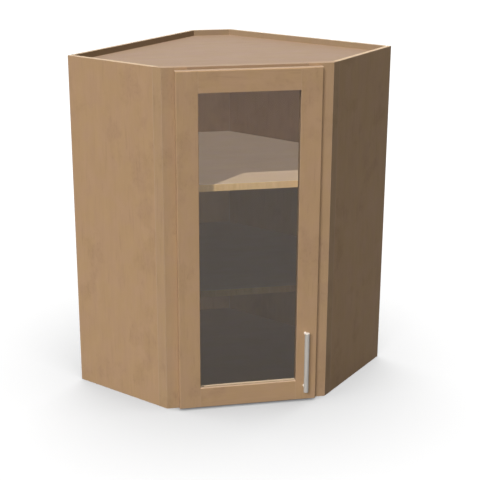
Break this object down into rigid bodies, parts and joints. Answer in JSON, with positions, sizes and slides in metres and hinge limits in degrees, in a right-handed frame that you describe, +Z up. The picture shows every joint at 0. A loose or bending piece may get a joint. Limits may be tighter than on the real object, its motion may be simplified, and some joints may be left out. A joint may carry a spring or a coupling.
{
  "type": "corner wall cabinet",
  "caption": "Diagonal corner wall cabinet with a clipped back corner, a recessed top, a framed glass door on hinges, adjustable shelves and a slim upright bar pull.",
  "frame": {"origin": "middle of the base of the bounding box, on the plane that the cabinet stands on in the picture", "axes": "+Z up, +Y from the door straight into the corner of the room, +X to the right as one faces the door"},
  "size_m": [0.8622, 0.6412, 0.9144],
  "materials": {
    "cabinet_side": "satin lacquered maple veneer, upright grain",
    "cabinet_back": "satin lacquered maple veneer, upright grain",
    "frame_upright": "satin lacquered solid maple, upright grain",
    "frame_level": "satin lacquered solid maple, level grain",
    "door_upright": "satin lacquered solid maple, upright grain",
    "door_level": "satin lacquered solid maple, level grain",
    "top_and_bottom": "satin natural maple veneer",
    "hanging_rail": "satin natural maple",
    "shelf": "satin natural maple veneer",
    "edging": "yellowish wood edging with fine upright ticks",
    "glass": "clear, smooth, slightly green",
    "seal": "dark, matt",
    "bumper": "clear, soft",
    "pull": "satin nickel",
    "hinge_steel": "nickel plated",
    "small_steel": "zinc plated"
  },
  "bodies": {
    "cabinet": {"left_side_panel": "cabinet_side", "right_side_panel": "cabinet_side", "left_back_panel": "cabinet_back", "right_back_panel": "cabinet_back", "corner_back_panel": "cabinet_back", "top_panel": "top_and_bottom", "bottom_panel": "top_and_bottom", "left_hanging_rail": "hanging_rail", "right_hanging_rail": "hanging_rail", "left_frame_stile": "frame_upright", "right_frame_stile": "frame_upright", "top_frame_rail": "frame_level", "bottom_frame_rail": "frame_level", "shelf_pins": "small_steel", "carcass_screws": "small_steel", "hinge_arms": "hinge_steel", "plate_screws": "hinge_steel"},
    "door": {"left_door_stile": "door_upright", "right_door_stile": "door_upright", "top_door_rail": "door_level", "bottom_door_rail": "door_level", "door_glass": "glass", "glass_seal": "seal", "setting_blocks": "seal", "upright_glass_stops": "door_upright", "level_glass_stops": "door_level", "stop_pins": "small_steel", "hinge_cups": "hinge_steel", "hinge_pins": "hinge_steel", "cup_screws": "hinge_steel", "door_bumpers": "bumper", "pull_bar": "pull", "pull_posts": "pull", "pull_screws": "small_steel"},
    "lower_shelf": {"lower_shelf": "shelf", "lower_shelf_edging": "edging"},
    "upper_shelf": {"upper_shelf": "shelf", "upper_shelf_edging": "edging"}
  },
  "joints": [
    {"name": "door_swing", "type": "hinge", "parent": "cabinet", "child": "door", "pos_m": [-0.17773, -0.27948, 0.4572], "axis": [0, 0, -1], "range_deg": [0, 105]},
    {"name": "lower_shelf_lift", "type": "slide", "parent": "cabinet", "child": "lower_shelf", "axis": [0, 0, 1], "range_m": [0, 0.256]},
    {"name": "upper_shelf_lift", "type": "slide", "parent": "cabinet", "child": "upper_shelf", "axis": [0, 0, 1], "range_m": [0, 0.192]}
  ]
}
